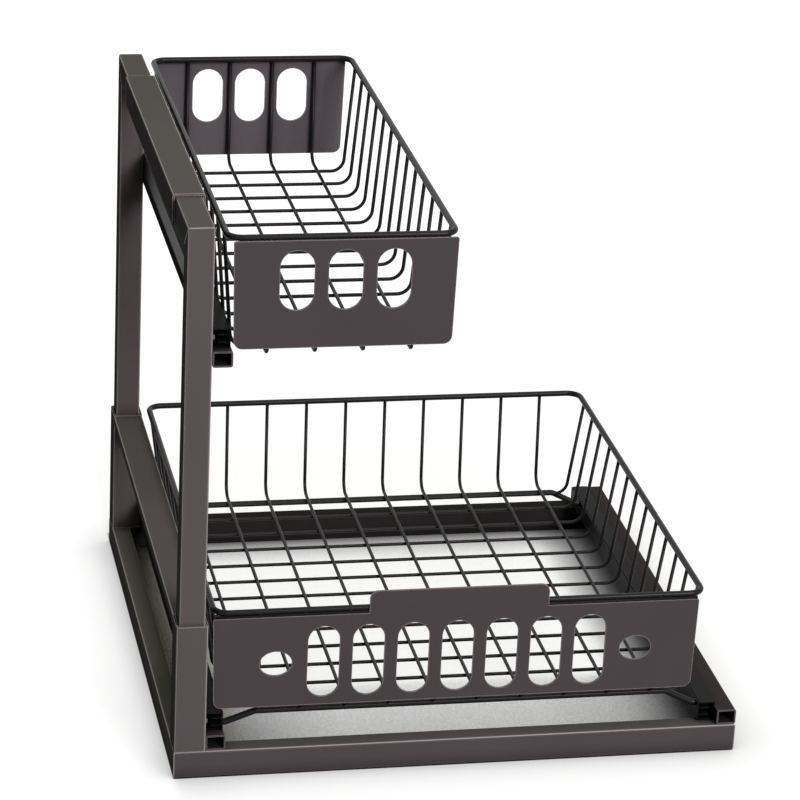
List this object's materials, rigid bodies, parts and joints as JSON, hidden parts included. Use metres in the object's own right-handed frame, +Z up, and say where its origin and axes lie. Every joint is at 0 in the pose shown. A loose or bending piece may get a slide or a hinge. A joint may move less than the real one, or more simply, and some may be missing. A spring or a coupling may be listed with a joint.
{
  "type": "pull-out cabinet basket organiser",
  "caption": "Free-standing steel tube stand with a wide wire basket at the bottom and a narrow one above it, each pulling out forwards on ball slides.",
  "frame": {"origin": "on the floor, in the middle of the whole width and depth", "axes": "+Z up, +X along the front from the post side to the open side, +Y from the front to the back"},
  "size_m": [0.4, 0.4096, 0.402],
  "materials": {
    "stand_coat": "satin",
    "basket_coat": "satin",
    "panel_coat": "satin",
    "slide_steel": "satin",
    "cage_steel": "satin",
    "ball_steel": "polished",
    "screw_steel": "satin"
  },
  "bodies": {
    "stand": {"front_base_rail": "stand_coat", "rear_base_rail": "stand_coat", "left_base_rail": "stand_coat", "right_base_rail": "stand_coat", "front_post_sleeve": "stand_coat", "rear_post_sleeve": "stand_coat", "side_beam": "stand_coat", "front_post": "stand_coat", "rear_post": "stand_coat", "front_post_stub": "stand_coat", "rear_post_stub": "stand_coat", "top_sleeve": "stand_coat", "lower_left_slide_tube": "stand_coat", "lower_right_slide_tube": "stand_coat", "upper_slide_tube": "stand_coat", "lower_left_fixed_rail": "slide_steel", "lower_right_fixed_rail": "slide_steel", "upper_fixed_rail": "slide_steel", "lower_left_slide_screws": "screw_steel", "lower_right_slide_screws": "screw_steel", "upper_slide_screws": "screw_steel"},
    "lower_basket": {"lower_basket_rim": "basket_coat", "lower_cross_wires": "basket_coat", "lower_long_wires": "basket_coat", "lower_front_panel": "panel_coat", "lower_front_support_wire": "basket_coat", "lower_rear_support_wire": "basket_coat", "lower_left_moving_rail": "slide_steel", "lower_right_moving_rail": "slide_steel"},
    "upper_basket": {"upper_basket_rim": "basket_coat", "upper_cross_wires": "basket_coat", "upper_long_wires": "basket_coat", "upper_front_panel": "panel_coat", "upper_rear_panel": "panel_coat", "upper_moving_rail": "slide_steel"},
    "lower_left_ball_set": {"lower_left_ball_cage": "cage_steel", "lower_left_balls": "ball_steel"},
    "lower_right_ball_set": {"lower_right_ball_cage": "cage_steel", "lower_right_balls": "ball_steel"},
    "upper_ball_set": {"upper_ball_cage": "cage_steel", "upper_balls": "ball_steel"}
  },
  "joints": [
    {"name": "lower_basket_slide", "type": "slide", "parent": "stand", "child": "lower_basket", "axis": [0, -1, 0], "range_m": [0, 0.27]},
    {"name": "upper_basket_slide", "type": "slide", "parent": "stand", "child": "upper_basket", "axis": [0, -1, 0], "range_m": [0, 0.27]},
    {"name": "lower_left_ball_set_slide", "type": "slide", "parent": "stand", "child": "lower_left_ball_set", "axis": [0, -1, 0], "range_m": [0, 0.135]},
    {"name": "lower_right_ball_set_slide", "type": "slide", "parent": "stand", "child": "lower_right_ball_set", "axis": [0, -1, 0], "range_m": [0, 0.135]},
    {"name": "upper_ball_set_slide", "type": "slide", "parent": "stand", "child": "upper_ball_set", "axis": [0, -1, 0], "range_m": [0, 0.135]}
  ],
  "couplings": [
    {"joint": "lower_left_ball_set_slide", "follows": "lower_basket_slide", "ratio": 0.5},
    {"joint": "lower_right_ball_set_slide", "follows": "lower_basket_slide", "ratio": 0.5},
    {"joint": "upper_ball_set_slide", "follows": "upper_basket_slide", "ratio": 0.5}
  ]
}
